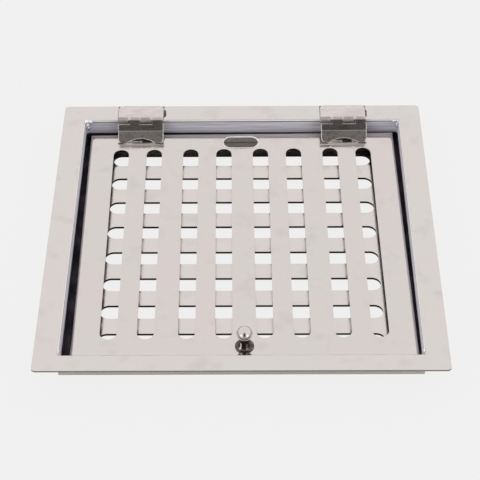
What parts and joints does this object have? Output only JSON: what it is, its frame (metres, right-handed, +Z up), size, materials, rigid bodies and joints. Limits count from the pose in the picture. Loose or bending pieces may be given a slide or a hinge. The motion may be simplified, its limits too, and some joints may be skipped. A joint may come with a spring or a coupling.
{
  "type": "terrace drain grate",
  "caption": "Square stainless floor drain grate: a folded frame with a slotted lower grate and a hinged slotted lid over it, lifted by a ball knob.",
  "frame": {"origin": "middle of the skirt's bottom edge, at the level on which the part stands", "axes": "+Z up through the lid, +Y towards the hinges, +X to the right seen from the knob"},
  "size_m": [0.3, 0.3, 0.0293],
  "materials": {
    "sheet": "cold-rolled stainless sheet, softly polished, folded and welded at the corners",
    "grate_sheet": "cold-rolled stainless sheet, punched, softly polished",
    "lid_sheet": "cold-rolled stainless sheet, punched, softly polished, with an etched plain field near the hinges",
    "knob": "turned stainless bar, mirror polished",
    "fastener": "plain stainless screw and washer",
    "frame_leaf": "pressed stainless hinge leaf, polished",
    "lid_leaf": "pressed stainless hinge leaf, mottled by welding",
    "pin": "drawn stainless wire"
  },
  "bodies": {
    "frame": {"frame": "sheet", "lower_grate": "grate_sheet", "left_frame_leaf": "frame_leaf", "left_hinge_pin": "pin", "right_frame_leaf": "frame_leaf", "right_hinge_pin": "pin"},
    "lid": {"lid": "lid_sheet", "knob": "knob", "knob_screw": "fastener", "knob_washer": "fastener", "left_lid_leaf": "lid_leaf", "right_lid_leaf": "lid_leaf"}
  },
  "joints": [
    {"name": "lid_hinge", "type": "hinge", "parent": "frame", "child": "lid", "pos_m": [0, 0.1282, 0.0235], "axis": [-1, 0, 0], "range_deg": [0, 179]}
  ]
}
